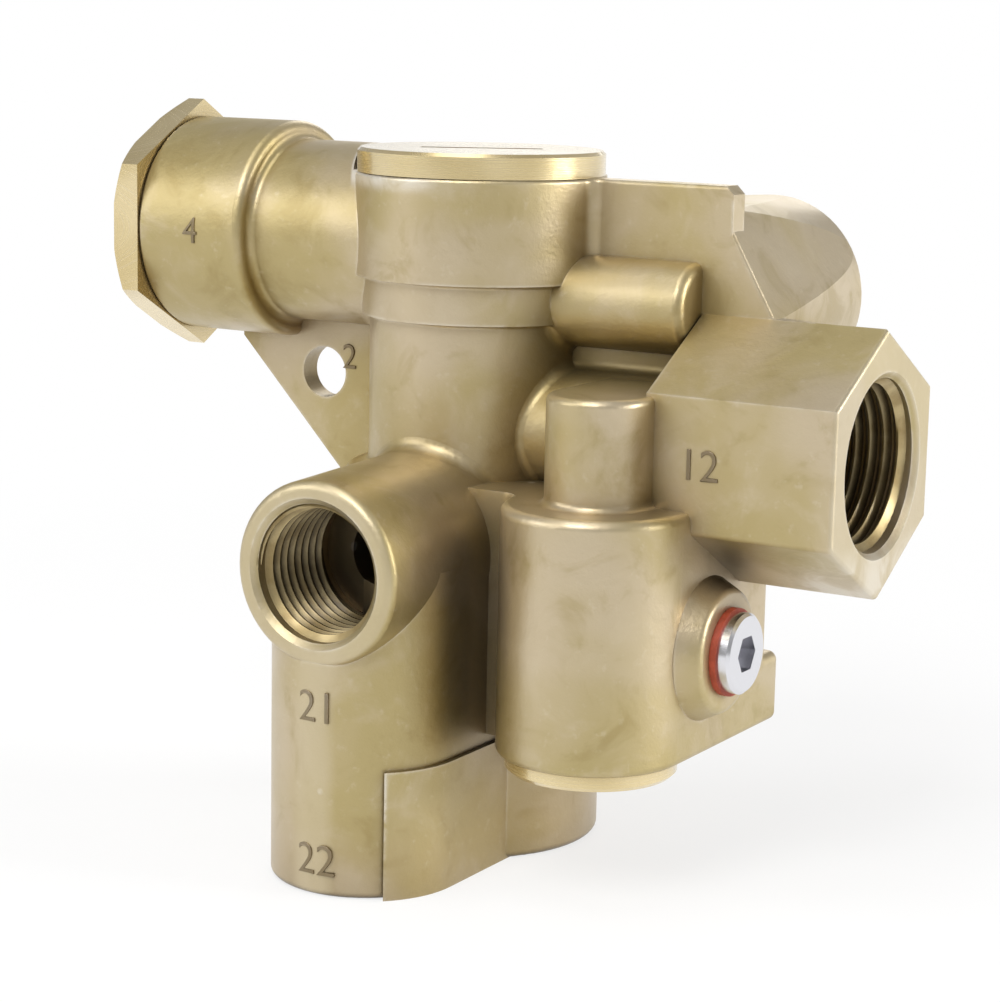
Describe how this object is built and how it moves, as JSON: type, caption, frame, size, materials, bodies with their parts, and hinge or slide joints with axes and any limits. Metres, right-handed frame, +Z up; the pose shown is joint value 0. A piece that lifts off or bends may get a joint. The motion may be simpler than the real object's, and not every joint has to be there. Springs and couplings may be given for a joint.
{
  "type": "brake priority valve",
  "caption": "Cast air valve body with a hexagon supply boss, threaded side ports, a flanged control cylinder, a capped priority chamber and sprung pistons inside.",
  "frame": {"origin": "centre of the exhaust opening on the flat foot, on the axis of the main column", "axes": "+Z up along the main column to the top cap, +X out of the hexagon reservoir port, +Y out of the rear delivery port"},
  "size_m": [0.1012, 0.0656, 0.0905],
  "materials": {
    "cast_aluminium": "die cast, yellow chromate coat",
    "machined_cap": "turned, yellow chromate coat",
    "plug_steel": "zinc plated, bright",
    "red_seal": "moulded, dull",
    "black_rubber": "moulded, dull",
    "turned_aluminium": "turned, hard anodised",
    "spring_steel": "drawn wire",
    "clip_steel": "blued spring steel",
    "brass": "turned",
    "black_plastic": "moulded acetal"
  },
  "bodies": {
    "valve_body": {"housing": "cast_aluminium", "top_cap": "machined_cap", "control_plug": "machined_cap", "chamber_cap": "machined_cap", "socket_plug": "plug_steel", "socket_plug_seal": "red_seal", "top_cap_seal": "black_rubber", "stem_seal": "black_rubber", "guide_inner_seal": "black_rubber", "guide_outer_seal": "black_rubber", "exhaust_seat_seal": "black_rubber", "chamber_cap_seal": "black_rubber", "control_plug_seal": "black_rubber", "exhaust_flap": "black_rubber", "return_spring": "spring_steel", "priority_spring": "spring_steel", "check_spring": "spring_steel", "strainer_spring": "spring_steel", "stem_guide": "brass", "valve_seat": "brass", "strainer": "brass", "exhaust_seat": "black_plastic", "retaining_ring": "clip_steel"},
    "control_piston_set": {"control_piston": "turned_aluminium", "piston_seal": "black_rubber", "exhaust_valve": "turned_aluminium", "exhaust_face": "black_rubber", "valve_screw": "spring_steel"},
    "priority_piston_set": {"priority_piston": "turned_aluminium", "priority_seal": "black_rubber", "priority_face": "black_rubber"},
    "check_poppet_set": {"check_poppet": "brass", "check_face": "black_rubber"}
  },
  "joints": [
    {"name": "control_piston_slide", "type": "slide", "parent": "valve_body", "child": "control_piston_set", "axis": [0, 0, 1], "range_m": [-0.0025, 0], "stiffness_N_per_m": 2000, "springref_m": 0.004, "deforming": ["return_spring"]},
    {"name": "priority_piston_slide", "type": "slide", "parent": "valve_body", "child": "priority_piston_set", "axis": [0, 0, 1], "range_m": [-0.0023, 0], "stiffness_N_per_m": 6000, "springref_m": 0.004, "deforming": ["priority_spring"]},
    {"name": "check_poppet_slide", "type": "slide", "parent": "valve_body", "child": "check_poppet_set", "axis": [0, 0, 1], "range_m": [0, 0.0016], "stiffness_N_per_m": 300, "springref_m": -0.002, "deforming": ["check_spring"]}
  ]
}
